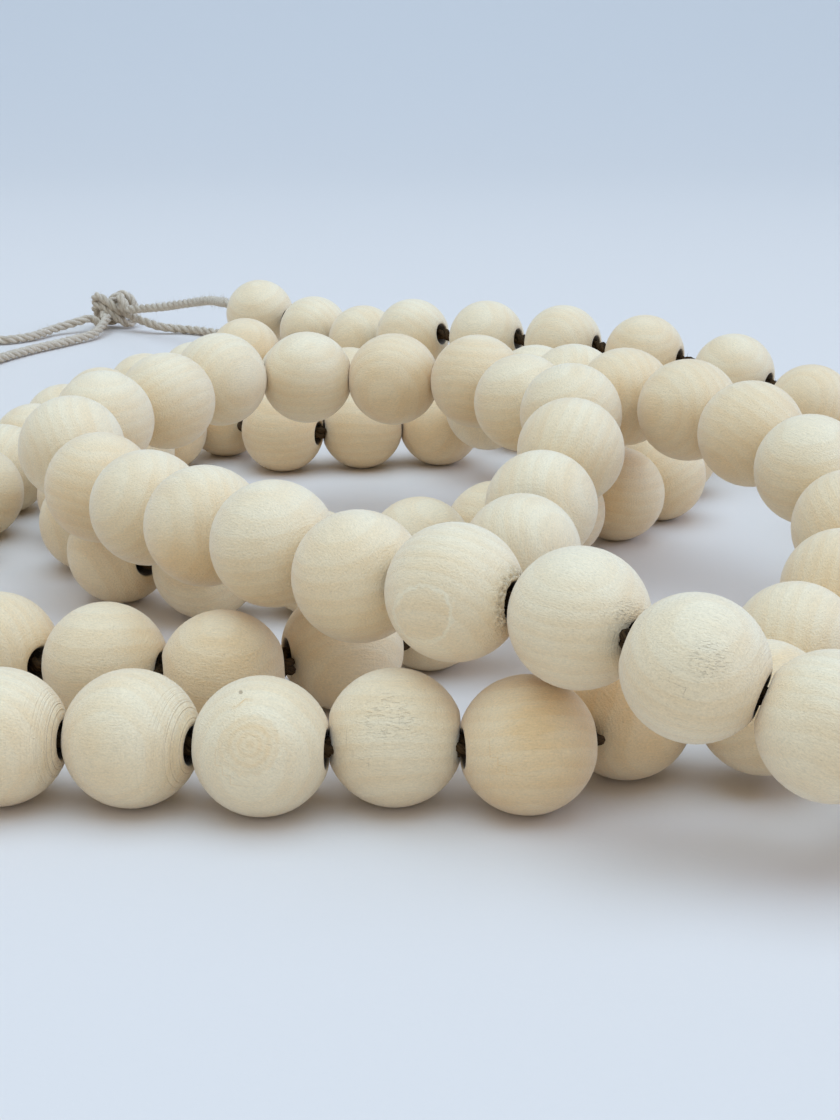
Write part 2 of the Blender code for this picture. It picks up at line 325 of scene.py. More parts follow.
def knot_reach(direction):
    """Distance from the knot's centre to its lobed surface."""
    x, y, z = unit(direction)
    oval = 1 / math.sqrt((x / KNOT_HALF[0])**2 + (y / KNOT_HALF[1])**2 + (z / KNOT_HALF[2])**2)
    lobes = math.cos(KNOT_LOBES * math.atan2(z, y) + KNOT_LOBE_TURN * x) * (1 - x * x)
    return oval * (1 + KNOT_LOBE_DEPTH * lobes)


def seat_at_knot(toward, radius):
    """Two points straight out of the knot: the place of a twine's end, and one further on."""
    knot = np.array(KNOT_CENTRE)
    along = unit(toward - knot)
    side = unit(np.cross(along, (0.0, 0.0, 1.0)))
    up = np.cross(side, along)
    rim = [radius * (side * math.cos(a) + up * math.sin(a)) for a in np.linspace(0, math.tau, RIM_STEPS)]
    reach = max(knot_reach(along * max(KNOT_HALF) + offset) for offset in rim) + CLEARANCE
    return knot + along * reach, knot + along * (reach + TWINE_STRAIGHT)


def twine_line(points, more_steps=0):
    """Centre line of a twine through points, in fine steps and never in the surface."""
    along = distances_along(points)
    line = curve_through(along, points, np.linspace(0.0, along[-1], round(along[-1] / FINE_STEP) + more_steps))
    line[:, 2] = np.maximum(line[:, 2], TWINE_LOW)
    return line


def bare_line(name, strand):
    """Centre line of a bare stretch of twine, from its bead or from the knot."""
    route = [np.array((*point, TWINE_LOW)[:3], float) for point in TWINE_ROUTES[name]]
    if name.startswith("twine"):
        near, bead = (strand.centres[1], strand.centres[0]) if name == "twine_first" else strand.centres[[-2, -1]]
        out = unit(bead - near)
        seat = bead + out * (strand.flat + CLEARANCE)
        end, before_end = seat_at_knot(route[-1], strand.twine)
        route = [seat, seat + out * TWINE_STRAIGHT, *route, before_end, end]
    else:
        route = [*seat_at_knot(route[0], strand.twine), *route]
    return twine_line(route, more_steps=1)


# Twine

PLIES = 3
PLY_SIDES = 7
PLY_RADIUS = 0.5  # shares of the twine's radius
PLY_OFFSET = 0.5
PLY_SHIFT = 40.0  # along the pattern of the fibres, from one ply to the next
PLY_UNTWIST = 1.6  # turns of the fibres in a ply for each turn of the ply
FIBRE_SIDES = 3
FIBRE_TAPER = (1.0, 0.85, 0.65, 0.3)  # shares of a fibre's radius, from its root to its tip
FIBRE_WANDER = 0.35
FIBRE_DROOP = 0.08
FIBRE_SIDEWAYS = (0.3, 0.2, 0.93)
FIBRE_ROOT = 0.8  # share of the twine's radius at which a fibre starts
PATTERN_LENGTH = 300.0  # of the fibres' pattern, within which a loose fibre takes its place
FRAY_COUNT, FRAY_LENGTHS = 50, (1.0, 2.4)
FRAY_DEPTH = 1.5  # in millimetres
FRAY_SPREAD = 0.4  # share of the twine's radius


def carried_frames(line):
    """Directions along a line, and a side direction that doesn't twist about it."""
    along = distances_along(line)
    tangent = unit(np.gradient(line, along, axis=0))
    side = square_to(tangent[0])
    sides = []
    for t in tangent:
        side = unit(side - t * (side @ t))
        sides.append(side)
    return along, tangent, np.array(sides)


def tube_faces(rings, sides, start=0):
    """Faces of a tube with closed ends, whose rings of corners follow one another."""
    last = start + (rings - 1) * sides
    faces = []
    for base in range(start, last, sides):
        for k in range(sides):
            a, b = base + k, base + (k + 1) % sides
            faces.append((a, b, b + sides, a + sides))
    return [*faces, tuple(reversed(range(start, start + sides))), tuple(range(last, last + sides))]


def add_plies(parts, line, radius, lay, start=0.0):
    """Three plies twisted round a line. Their field is each corner's place in its own straight ply."""
    along, tangent, side = carried_frames(line)
    up = np.cross(tangent, side)
    corners, faces, fibre = [], [], []
    around = np.arange(PLY_SIDES) * math.tau / PLY_SIDES
    ply_radius = radius * PLY_RADIUS
    for ply in range(PLIES):
        turn = start + math.tau * (along / lay + ply / PLIES)
        out = np.cos(turn)[:, None] * side + np.sin(turn)[:, None] * up
        centre = line + out * radius * PLY_OFFSET
        run = unit(np.gradient(centre, along, axis=0))
        high = unit(out - run * (out * run).sum(axis=1, keepdims=True))
        flank = np.cross(run, high)
        ring = (centre[:, None] + ply_radius * (np.cos(around)[None, :, None] * high[:, None]
                                                + np.sin(around)[None, :, None] * flank[:, None]))
        corners.append(ring.reshape(-1, 3))
        untwist = around[None, :] - turn[:, None] * PLY_UNTWIST
        fibre.append(np.stack([np.repeat(along[:, None], PLY_SIDES, 1) + PLY_SHIFT * ply,
                               ply_radius * np.cos(untwist), ply_radius * np.sin(untwist)], -1).reshape(-1, 3))
        faces += tube_faces(len(line), PLY_SIDES, ply * len(line) * PLY_SIDES)
    parts.add(np.concatenate(corners), faces, fibre=np.concatenate(fibre))


def add_fibre(parts, root, way, length, radius, rng):
    """One loose fibre: a thin tapering thread that bends as it leaves its root."""
    points = [root]
    heading = unit(way)
    bends = len(FIBRE_TAPER) - 1
    for _ in range(bends):
        heading = unit(heading + rng.normal(0, FIBRE_WANDER, 3) - (0, 0, FIBRE_DROOP))
        points.append(points[-1] + heading * length / bends)
    points = np.array(points)
    points[:, 2] = np.maximum(points[:, 2], radius)
    side = unit(np.cross(points[1] - points[0], FIBRE_SIDEWAYS))
    other = unit(np.cross(points[1] - points[0], side))
    corners = []
    for point, share in zip(points, FIBRE_TAPER):
        for k in range(FIBRE_SIDES):
            angle = math.tau * k / FIBRE_SIDES
            corners.append(point + radius * share * (side * math.cos(angle) + other * math.sin(angle)))
    place = rng.uniform(0, PATTERN_LENGTH)
    parts.add(corners, tube_faces(len(points), FIBRE_SIDES),
              fibre=[(place + row, 0.0, 0.0) for row in range(len(points)) for _ in range(FIBRE_SIDES)])


def fuzz(parts, strand, line, per_mm, lengths, rng, spread=1.0):
    """Loose fibres that stand off a stretch of twine."""
    along, tangent, side = carried_frames(line)
    up = np.cross(tangent, side)
    for _ in range(round(per_mm * along[-1])):
        i = rng.integers(0, len(line))
        angle = rng.uniform(0, math.tau)
        out = side[i] * math.cos(angle) + up[i] * math.sin(angle)
        way = out + tangent[i] * rng.uniform(-spread, spread)
        add_fibre(parts, line[i] + out * strand.twine * FIBRE_ROOT, way, rng.uniform(*lengths), strand.thread, rng)


def fray(parts, strand, line, rng):
    """A cut end, where the plies open into a brush."""
    way = unit(line[-1] - line[-2])
    for _ in range(FRAY_COUNT):
        root = line[-1] - way * rng.uniform(0, FRAY_DEPTH) + rng.normal(0, strand.twine * FRAY_SPREAD, 3)
        root[2] = max(root[2], strand.thread)
        add_fibre(parts, root, way + rng.normal(0, FIBRE_WANDER, 3), rng.uniform(*FRAY_LENGTHS), strand.thread, rng)


# Finishes

class Nodes:
    """Short calls that build a node tree."""

    def __init__(self, name):
        self.material = bpy.data.materials.new(name)
        self.material.use_nodes = True
        self.tree = self.material.node_tree
        self.shader = self.tree.nodes["Principled BSDF"]

    def add(self, kind, inputs=None, **settings):
        node = self.tree.nodes.new(kind)
        for key, value in settings.items():
            setattr(node, key, value)
        for key, value in (inputs or {}).items():
            if isinstance(value, bpy.types.NodeSocket):
                self.tree.links.new(value, node.inputs[key])
            else:
                node.inputs[key].default_value = value
        return node

    def math(self, operation, a, b=0.0, c=0.0, clamp=False):
        """One step of arithmetic."""
        return self.add("ShaderNodeMath", {0: a, 1: b, 2: c}, operation=operation, use_clamp=clamp).outputs[0]

    def times(self, a, b):
        return self.math("MULTIPLY", a, b)

    def plus(self, total, value, share, clamp=False):
        """A total with a share of a value added to it."""
        return self.math("MULTIPLY_ADD", value, share, total, clamp)

    def about_zero(self, pattern):
        """A pattern whose middle value is moved to zero."""
        return self.math("SUBTRACT", pattern, 0.5)

    def span(self, value, low, high, to_low=0.0, to_high=1.0):
        """A smooth step from one value to another."""
        return self.add("ShaderNodeMapRange", {"Value": value, "From Min": low, "From Max": high,
                                               "To Min": to_low, "To Max": to_high},
                        interpolation_type="SMOOTHSTEP").outputs[0]

    def mix(self, factor, a, b):
        return self.add("ShaderNodeMix", {0: factor, 6: a, 7: b}, data_type="RGBA").outputs[2]

    def scaled(self, vector, scale):
        """A vector or colour, each of its three parts multiplied by its own scale."""
        return self.add("ShaderNodeVectorMath", {0: vector, 1: scale}, operation="MULTIPLY").outputs[0]

    def noise(self, vector, scale=1.0, detail=2.0, roughness=0.5, dimensions="3D"):
        keys = {"Scale": scale, "Detail": detail, "Roughness": roughness}
        keys["W" if dimensions == "1D" else "Vector"] = vector
        return self.add("ShaderNodeTexNoise", keys, noise_dimensions=dimensions).outputs[0]

    def field(self, name):
        return self.add("ShaderNodeAttribute", attribute_name=name).outputs["Vector"]

    def parts(self, vector):
        return tuple(self.add("ShaderNodeSeparateXYZ", {0: vector}).outputs)

    def join(self, x, y, z=0.0):
        return self.add("ShaderNodeCombineXYZ", {0: x, 1: y, 2: z}).outputs[0]

    def bump(self, height, strength=1.0, distance=MM):
        """Relief of the surface, its height in millimetres unless another distance is given."""
        keys = {"Strength": strength, "Distance": distance, "Height": height}
        self.link("Normal", self.add("ShaderNodeBump", keys).outputs[0])

    def link(self, socket, value):
        self.tree.links.new(value, self.shader.inputs[socket])

    def even(self, **values):
        """Shader values that are the same all over."""
        for key, value in values.items():
            self.shader.inputs[key.replace("_", " ")].default_value = value


def colour(value):
    """A colour with full cover."""
    return (*value, 1.0)


# Wood: how finely each pattern runs along the fibre and twice across it, per millimetre
WANDER_SCALE = (0.05, 0.11, 0.11)
PATCH_SCALE = (0.06, 0.13, 0.13)
STREAK_SCALE = (0.45, 4.2, 4.2)
MOTTLE_SCALE = (2.8, 4.0, 4.0)
FLECK_SCALE = (1.0, 6.0, 6.0)
CRUMB_SCALE = (1.8, 1.8, 1.8)
SCRATCH_SCALE = (4.0, 14.0, 0.0)  # across and up, per radius of its mark
LATHE_SCALE = 2.2  # away from the hole
RAGGED_SCALE = 0.9
LAYER_WIDTH = 2.3  # one layer of growth, in millimetres
LAYER_WANDER = 3.0
LATHE_SHIFT = 61.0  # so that no two beads have the same turned rings
# Relief in millimetres
LATHE_HEIGHT = 0.36
STREAK_HEIGHT = 0.095
MOTTLE_HEIGHT = 0.110
FLECK_HEIGHT = -0.030
SCRATCH_HEIGHT = -0.09
CRUMB_HEIGHT = -0.12
# Shares of the warm colour
LATE_WARMTH = 0.15
PATCH_WARMTH = 0.26
STREAK_WARMTH = 0.28
RINGED_WARMTH = 0.36
RING_WARMTH = 0.10
RING_WAVES = 21.0  # radians of the rings per radius of their mark
GLOW_WARMTHS = (0.45, 0.30)
OUTLINE_WARMTH = -0.32
INNER_WARMTH = 0.10
# Shares by which the tone changes, and shares of the dark colours
STREAK_TONE = 0.34
MOTTLE_TONE = 0.34
FLECK_DARK = 0.16
SCRATCH_DARK = 0.05
CRUMB_DARK = 0.06
DOT_DARK = 0.75
# Painted shade: the inside of the hole and its mouth are darkened nearly to black
HOLE_SHADE = 0.95
HOLE_SHADE_EDGE = (3.0, 2.65)  # distances from the hole's middle line over which the painted shade inside the hole sets in
# Marks on single beads
RINGED, OUTLINED, WARM, SPECK, TORN = 1.0, 2.0, 3.0, 4.0, 5.0


def marks_finish(n, grain, wander, own_marks):
    """For the marks on single beads: warmth they add, torn scratches and dark dots."""
    across, up, kind = n.parts(own_marks)
    ringed, outlined, warm, speck, torn = (n.math("COMPARE", kind, mark, 0.5) for mark in
                                           (RINGED, OUTLINED, WARM, SPECK, TORN))
    away = n.math("SQRT", n.math("MULTIPLY_ADD", across, across, n.times(up, up)))
    ragged = n.plus(1.0, n.about_zero(wander), 0.5)
    ragged = n.plus(ragged, n.about_zero(n.noise(grain, RAGGED_SCALE)), 0.35)
    away = n.times(away, ragged)
    rings = n.times(n.math("SINE", n.times(away, RING_WAVES)), n.span(away, 0.9, 1.5, RING_WARMTH, 0.0))
    ring_tan = n.math("ADD", n.span(away, 0.55, 1.3, RINGED_WARMTH, 0.0), rings)
    glow = n.math("ADD", n.span(away, 0.1, 1.3, GLOW_WARMTHS[0], 0.0), n.span(away, 0.05, 0.35, GLOW_WARMTHS[1], 0.0))
    outline = n.span(n.math("ABSOLUTE", n.math("SUBTRACT", away, 1.0)), 0.02, 0.10, 1.0, 0.0)
    inner = n.span(away, 0.9, 1.0, INNER_WARMTH, 0.0)
    added = n.plus(n.times(warm, glow), ringed, ring_tan)
    added = n.plus(added, outlined, n.plus(inner, outline, OUTLINE_WARMTH))
    scratch = n.span(n.noise(n.scaled(own_marks, SCRATCH_SCALE), roughness=0.6), 0.53, 0.66)
    scratch = n.times(n.times(scratch, torn), n.span(away, 0.4, 1.15, 1.0, 0.0))
    dot = n.times(speck, n.span(away, 0.12, 0.24, 1.0, 0.0))
    return added, scratch, dot


def wood_finish(colours):
    """Bare turned hardwood: faint growth layers, fine fibres, lathe rings and single marks, with painted shade inside
    the hole.
    """
    n = Nodes("natural_wood")
    grain = n.field("grain")
    _, radial, _ = n.parts(grain)
    from_hole, off_axis, own = n.parts(n.field("turned"))
    lathe_share, chipped, _ = n.parts(n.field("wear"))

    wander = n.noise(n.scaled(grain, WANDER_SCALE))
    layer = n.math("FRACT", n.math("DIVIDE", n.plus(radial, wander, LAYER_WANDER), LAYER_WIDTH))
    late = n.times(n.span(layer, 0.1, 0.82), n.span(layer, 0.88, 1.0, 1.0, 0.0))
    patch = n.span(n.noise(n.scaled(grain, PATCH_SCALE)), 0.36, 0.70)
    streak = n.noise(n.scaled(grain, STREAK_SCALE), detail=3.0, roughness=0.6)
    mottle = n.noise(n.scaled(grain, MOTTLE_SCALE), roughness=0.6)
    fleck = n.span(n.noise(n.scaled(grain, FLECK_SCALE)), 0.67, 0.78)
    crumb = n.noise(n.scaled(grain, CRUMB_SCALE), detail=3.0, roughness=0.7)
    crumb = n.times(n.span(crumb, 0.45, 0.60), chipped)
    added, scratch, dot = marks_finish(n, grain, wander, n.field("mark"))

    warmth = n.plus(n.times(patch, PATCH_WARMTH), late, LATE_WARMTH)
    warmth = n.plus(warmth, n.about_zero(streak), STREAK_WARMTH)
    # Each bead's own warmth, on some beads also painted warm bounce light
    warmth = n.math("ADD", n.math("ADD", warmth, own), added, clamp=True)
    tone = n.plus(1.0, n.about_zero(mottle), MOTTLE_TONE)
    tone = n.plus(tone, n.about_zero(streak), STREAK_TONE)
    base = n.scaled(n.mix(warmth, colour(colours.wood_pale), colour(colours.wood_warm)), n.join(tone, tone, tone))
    dark = n.plus(n.times(scratch, SCRATCH_DARK), fleck, FLECK_DARK)
    dark = n.math("ADD", n.plus(dark, crumb, CRUMB_DARK), n.times(dot, DOT_DARK), clamp=True)
    base = n.mix(dark, base, colour(colours.wood_fleck))
    # Painted shade inside the hole and on its sloped mouth
    base = n.mix(n.times(n.span(off_axis, *HOLE_SHADE_EDGE), HOLE_SHADE), base, colour(colours.hole))
    n.link("Base Color", base)
    n.link("Roughness", n.span(mottle, 0.3, 0.7, 0.52, 0.66))

    lathe = n.noise(n.plus(from_hole, own, LATHE_SHIFT), LATHE_SCALE, roughness=0.6, dimensions="1D")
    lathe = n.times(n.about_zero(lathe), n.span(from_hole, 12.5, 3.0, 0.15, 1.0))
    height = n.times(n.times(lathe, lathe_share), LATHE_HEIGHT)
    height = n.plus(height, n.about_zero(streak), STREAK_HEIGHT)
    for pattern, share in ((mottle, MOTTLE_HEIGHT), (fleck, FLECK_HEIGHT), (scratch, SCRATCH_HEIGHT),
                           (crumb, CRUMB_HEIGHT)):
        height = n.plus(height, pattern, share)
    n.bump(height)
    n.even(Specular_IOR_Level=0.35, Sheen_Weight=0.35)
    return n.material


# Jute: how finely its fibres and blotches run along a ply and twice across it, per millimetre
FIBRE_SCALE = (0.55, 7.0, 7.0)
BLOTCH_SCALE = (0.25, 0.8, 0.8)
BLOTCH_SHARE = 0.8
FIBRE_HEIGHT = 0.22


def jute_finish(name, light, dark, sheen, gloss):
    """Spun jute: coarse fibres that follow each ply."""
    n = Nodes(name)
    fibre = n.field("fibre")
    strands = n.noise(n.scaled(fibre, FIBRE_SCALE), detail=4.0, roughness=0.65)
    blotch = n.about_zero(n.noise(n.scaled(fibre, BLOTCH_SCALE)))
    shade = n.plus(n.span(strands, 0.32, 0.68), blotch, BLOTCH_SHARE, clamp=True)
    n.link("Base Color", n.mix(shade, colour(dark), colour(light)))
    n.bump(n.times(strands, FIBRE_HEIGHT))
    n.even(Roughness=0.92, Specular_IOR_Level=gloss, Sheen_Weight=sheen)
    return n.material


def shaded_threaded_jute(colours):
    """Jute in and between the beads, given near-black colours as painted shade."""
    # Painted shade: near-black colours for the twine in and between the beads
    return jute_finish("jute_twine", colours.shaded_twine_pale, colours.shaded_twine_dark, sheen=0.0, gloss=0.05)


def lit_bare_jute(colours):
    """Jute that lies bare, given much paler colours than the twine in the beads as painted light."""
    # Painted light: much paler colours for the bare twine and the knot
    return jute_finish("jute_twine_bare", colours.lit_bare_pale, colours.lit_bare_dark, sheen=0.1, gloss=0.2)


# The surface, in metres
FAR_SPAN = (0.1, 1.4)  # behind the garland, over which it takes its far colour: painted shade
EDGE_SPAN = (0.7, 2.4)  # to the sides and in front, over which it takes its edge colour: painted light
BOARD_SCALE = 900.0
BOARD_HEIGHT = 0.0002


def surface_finish(colours):
    """Matt pale board, darker far behind the garland by painted shade and paler far to the sides and in front by
    painted light.
    """
    n = Nodes("pale_surface")
    place = n.add("ShaderNodeTexCoord").outputs["Object"]
    x, y, _ = n.parts(place)
    # Painted shade: darker far behind the garland
    base = n.mix(n.span(y, *FAR_SPAN), colour(colours.surface), colour(colours.far_surface_shade))
    outward = n.math("MAXIMUM", n.math("ABSOLUTE", x), n.times(y, -1.0))
    # Painted light: paler far to the sides and in front
    n.link("Base Color", n.mix(n.span(outward, *EDGE_SPAN), base, colour(colours.lit_surface_edge)))
    n.bump(n.noise(place, BOARD_SCALE, detail=3.0), strength=0.15, distance=BOARD_HEIGHT)
    n.even(Roughness=0.6, Specular_IOR_Level=0.2)
    return n.material


def finish_named(name, maker):
    """The finish of that name, made the first time it is asked for."""
    return bpy.data.materials.get(name) or maker(bpy.context.scene.garland_colours)


# Beads

MOUTH_SLOPE = 0.0007  # depth of the sloped mouth of a hole, in metres as the next values
MOUTH_ROUND = 0.00018
FACING_UP = 0.999  # upward share from which a face is a flat
ON_FLAT = 2e-5  # how near a corner has to be to count as on the flat, its rim or the hole's mouth
ON_RIM = 2e-4
ON_MOUTH = 1e-4


def select_only(found, test):
    """Of the faces or edges of a mesh in edit mode, select only those that pass a test."""
    for part in found:
        part.select_set(False)
    for part in found:
        if test(part):
            part.select_set(True)


def select_edges(piece, test):
    """In edit mode, select only the edges whose two ends pass a test."""
    shell = bmesh.from_edit_mesh(piece.data)
    select_only(shell.edges, lambda edge: all(test(corner.co) for corner in edge.verts))
    bmesh.update_edit_mesh(piece.data)


def model_bead(sizes, fineness):
    """One drilled bead at the origin, its hole along Z."""
    deselect_all()
    radius, flat = sizes.bead_radius, sizes.bead_flat
    flat_radius = math.sqrt(radius**2 - flat**2)
    bpy.ops.mesh.primitive_uv_sphere_add(
        segments=sizes.segments * fineness, ring_count=sizes.rings * fineness, radius=radius)
    bead = bpy.context.object
    bpy.ops.object.mode_set(mode="EDIT")
    bpy.ops.mesh.select_mode(type="FACE")
    for side in (1, -1):
        bpy.ops.mesh.select_all(action="SELECT")
        bpy.ops.mesh.bisect(plane_co=(0, 0, side * flat), plane_no=(0, 0, side), use_fill=True, clear_outer=True)
    shell = bmesh.from_edit_mesh(bead.data)
    select_only(shell.faces, lambda face: abs(face.normal.z) > FACING_UP and len(face.verts) > 4)
    bmesh.update_edit_mesh(bead.data)
    bpy.ops.mesh.inset(thickness=flat_radius - sizes.mouth_radius, depth=0.0, use_individual=True)
    bpy.ops.mesh.inset(thickness=sizes.mouth_radius - sizes.hole_radius, depth=-MOUTH_SLOPE, use_individual=True)
    bpy.ops.mesh.bridge_edge_loops(number_cuts=2)
    bpy.ops.mesh.select_mode(type="EDGE")

    def on_rim(corner):
        return abs(abs(corner.z) - flat) < ON_FLAT and math.hypot(corner.x, corner.y) > flat_radius - ON_RIM

    def on_mouth(corner):
        off_rim = abs(math.hypot(corner.x, corner.y) - sizes.mouth_radius)
        return abs(abs(corner.z) - flat) < ON_FLAT and off_rim < ON_MOUTH

    select_edges(bead, on_rim)
    bpy.ops.mesh.bevel(offset=sizes.rim_round, segments=3, profile=0.5, affect="EDGES")
    select_edges(bead, on_mouth)
    bpy.ops.mesh.bevel(offset=MOUTH_ROUND, segments=2, profile=0.5, affect="EDGES")
    bpy.ops.mesh.select_all(action="SELECT")
    bpy.ops.mesh.normals_make_consistent(inside=False)
    bpy.ops.object.mode_set(mode="OBJECT")
    return bead


def frame_about(axis, spin):
    """Three directions, the last one along the axis, turned about it by spin."""
    side = square_to(axis)
    other = np.cross(axis, side)
    first = side * math.cos(spin) + other * math.sin(spin)
    return np.stack([first, np.cross(axis, first), axis], axis=1)


# Where the camera stands, in millimetres. The marks on single beads are set out as seen from there
VIEWER = (26.0, -416.5, 111.3)
# Marks: bead, place across and up as shares of its radius, radius of the mark, kind
MARKS = (
    (54, -0.16, 0.02, 4.0, RINGED), (54, -0.27, 0.75, 1.6, SPECK), (23, -0.43, -0.31, 4.3, OUTLINED),
    (56, 0.07, 0.22, 4.5, WARM), (55, -0.08, 0.28, 4.8, TORN), (21, 0.15, 0.10, 3.6, TORN),
    (22, 0.66, 0.05, 2.6, TORN), (57, 0.1, 0.3, 5.0, WARM),
)
MARK_END = 1.6  # beyond this many radii a mark has no effect
NO_MARK = 9.0
GRAIN_DEPTH = 45.0  # from a bead to the middle of its log
GRAIN_SHIFTS = (37.0, 23.0)  # from bead to bead, so that no two have the same grain
GRAIN_OFFSET = 60.0
RING_OFFSET = 0.05  # share of that for the layers of growth
GRAIN_SLOPE = 0.2
# Warmth of single beads: the wood's own tone, and on the low beads between the rows (41 to 45, 69 to 72) also painted
# warm bounce light
WARMTHS_AND_PAINTED_BOUNCE = {20: 0.06, 21: 0.08, 22: 0.06, 23: 0.08, 24: 0.14, 25: 0.10, 41: 0.20, 42: 0.30, 43: 0.40, 44: 0.28,
           45: 0.30, 51: 0.30, 52: 0.18, 53: 0.16, 54: 0.0, 55: 0.12, 56: 0.48, 57: 0.42, 58: 0.26, 64: 0.26,
           69: 0.42, 70: 0.45, 71: 0.45, 72: 0.35, 84: 0.34}
LEAST_WARMTH, MORE_WARMTH = 0.04, 0.30  # of the other beads
LATHE_SHARES = {52: 1.0, 53: 1.0, 21: 0.6}
LATHE_SHARE = 0.25  # of the other beads
CHIPPED = {23: -1}  # bead and the end of its hole that is chipped
CHIP_AT, CHIP_WIDTH = 3.9, 1.1  # distance from the hole's middle line
CHIP_LEAST = 0.02
CHIP_DEPTH, CHIP_RISE = 0.55, 0.12
CHIP_SCALES = (1.9, 4.1)
CHIPPED_FINENESS = 3  # times as many faces round a chipped bead


def marks_on(bead, centre, radius, place):
    """For each corner, its place across and up in the nearest mark's radii, and that mark's kind."""
    found = np.tile((NO_MARK, NO_MARK, 0.0), (len(place), 1))
    nearest = np.full(len(place), MARK_END)
    toward = unit(np.array(VIEWER) - centre)
    right = unit(np.cross((0.0, 0.0, 1.0), toward))
    above = np.cross(toward, right)
    for _, across, up, size, kind in (mark for mark in MARKS if mark[0] == bead):
        middle = (right * across + above * up + toward * math.sqrt(1 - across**2 - up**2)) * radius
        from_middle = (place - middle) / size
        away = np.linalg.norm(from_middle, axis=1)
        close = away < nearest
        nearest[close] = away[close]
        found[close] = np.stack([from_middle @ right, from_middle @ above, np.full(len(place), kind)], 1)[close]
    return found


def bead_fields(corners, bead, strand, rng):
    """Each corner's place in the grain of the wood, on the turned bead, in its wear and in its marks."""
    axis = strand.axes[bead]
    basis = frame_about(axis, rng.uniform(0, math.tau))
    fibre = unit(basis[:, 2] + basis[:, 1] * rng.normal(0, GRAIN_SLOPE))
    out = basis[:, 0]
    offset = rng.uniform(-GRAIN_OFFSET, GRAIN_OFFSET, 2)
    across = np.cross(fibre, out)
    place = corners - strand.centres[bead]
    rings = np.hypot(place @ out + GRAIN_DEPTH, place @ across) + offset[0] * RING_OFFSET
    grain = np.stack([place @ fibre + GRAIN_SHIFTS[0] * bead, rings + GRAIN_SHIFTS[1] * bead,
                      place @ across + offset[1]], axis=1)
    along = place @ axis
    off_axis = np.linalg.norm(place - np.outer(along, axis), axis=1)
    from_hole = strand.radius * np.arctan2(off_axis, np.abs(along))
    # The bead's warmth, on some beads also painted warm bounce light
    warmth = WARMTHS_AND_PAINTED_BOUNCE.get(bead, LEAST_WARMTH + MORE_WARMTH * rng.uniform(0, 1)**1.5)
    blank = np.zeros(len(corners))
    chipped = blank
    if bead in CHIPPED:
        chipped = np.exp(-((off_axis - CHIP_AT) / CHIP_WIDTH)**2) * (along * CHIPPED[bead] > 0)
    return {"grain": grain, "turned": np.stack([from_hole, off_axis, blank + warmth], axis=1),
            "wear": np.stack([blank + LATHE_SHARES.get(bead, LATHE_SHARE), chipped, blank], axis=1),
            "mark": marks_on(bead, strand.centres[bead], strand.radius, place)}


def chip_rim(place, bead, strand, fields):
    """Break small crumbs out of the rim round a chipped hole."""
    inward = unit(strand.centres[bead] - place)
    for i in np.flatnonzero(fields["wear"][:, 1] > CHIP_LEAST):
        coarse, fine = (noise.noise(Vector(place[i]) * scale) for scale in CHIP_SCALES)
        place[i] += inward[i] * fields["wear"][i, 1] * max(-CHIP_RISE, CHIP_DEPTH * (coarse + 0.5 * fine))
    return place


def press_flat(place, bead, strand):
    """Keep a bead's corners above the surface and on its own side of the planes halfway to its neighbours."""
    centre = strand.centres[bead]
    for other in (bead - 1, bead + 1):
        if 0 <= other < BEAD_COUNT:
            way = strand.centres[other] - centre
            toward = unit(way)
            past = (place - centre) @ toward - np.linalg.norm(way) / 2 + PRESSED
            place = place - np.outer(np.maximum(past, 0.0), toward)
    place[:, 2] = np.maximum(place[:, 2], 0.0)
    return place


# Pieces

CAMERA_TILT = 72.5
CAMERA_SENSOR = 36.0
CAMERA_LENS = 57.857
# Loose fibres per millimetre of twine, and their least and greatest length
BARE_FUZZ, BARE_FUZZ_LENGTHS = 4.0, (0.8, 2.2)
KNOT_FUZZ, KNOT_FUZZ_LENGTHS = 3.0, (0.6, 1.8)
GAP_FUZZ, GAP_FUZZ_LENGTHS = 6.0, (0.5, 1.6)
GAP_FUZZ_MORE = 3.0  # in each gap, whatever its length
GAP_SPREAD = 3.0  # gap from which its fibres lean as far as elsewhere
GAP_STEPS = 6
ROUND_END = 4  # rings at a twine's ends that are left bare
# Twine through the beads
SNUG = 0.97  # share of its radius
MOUTH_SHARES = (0.88, 0.94, 1.0)
INNER_SHARE, INNER_STEPS = 0.66, 7
GAP_PULL = 1.3
# Knot
KNOT_RAISE = 0.3
KNOT_LIFT = 1.55  # of one twine above the other, halved
KNOT_OPENING = 0.55
KNOT_STEPS = 16
KNOT_SIZES = (2.45, 1.95, 3.2)
KNOT_FORWARD = 0.8


class GARLAND_OT_camera(bpy.types.Operator):
    """Add the camera that looks over the front row"""

    bl_idname = "garland.camera"
    bl_label = "Camera"

    def execute(self, context):
        deselect_all()
        bpy.ops.object.camera_add(
            location=[value * MM for value in VIEWER], rotation=(math.radians(CAMERA_TILT), 0, 0))
        camera = context.object
        camera.name = "camera"
        camera.data.sensor_width = CAMERA_SENSOR
        camera.data.lens = CAMERA_LENS
        camera.data.clip_start = 0.01
        context.scene.camera = camera
        return {"FINISHED"}


class GARLAND_OT_bare_twine(bpy.types.Operator):
    """Add the two stretches of twine between the beads and the knot, and the two cut tails"""

    bl_idname = "garland.bare_twine"
    bl_label = "Bare twine and tails"

    def execute(self, context):
        sizes = context.scene.garland_sizes
        strand = Strand(sizes)
        rng = np.random.default_rng(11)
        jute = finish_named("jute_twine_bare", lit_bare_jute)
        for name in TWINE_ROUTES:
            line = bare_line(name, strand)
            parts = Parts()
            add_plies(parts, line, strand.twine, strand.lay, rng.uniform(0, math.tau))
            fuzz(parts, strand, line[ROUND_END:-ROUND_END], BARE_FUZZ, BARE_FUZZ_LENGTHS, rng)
            if name.startswith("tail"):
                fray(parts, strand, line, rng)
            piece = parts.finish(name + "_jute", jute)
            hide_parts(name)
        return {"FINISHED"}


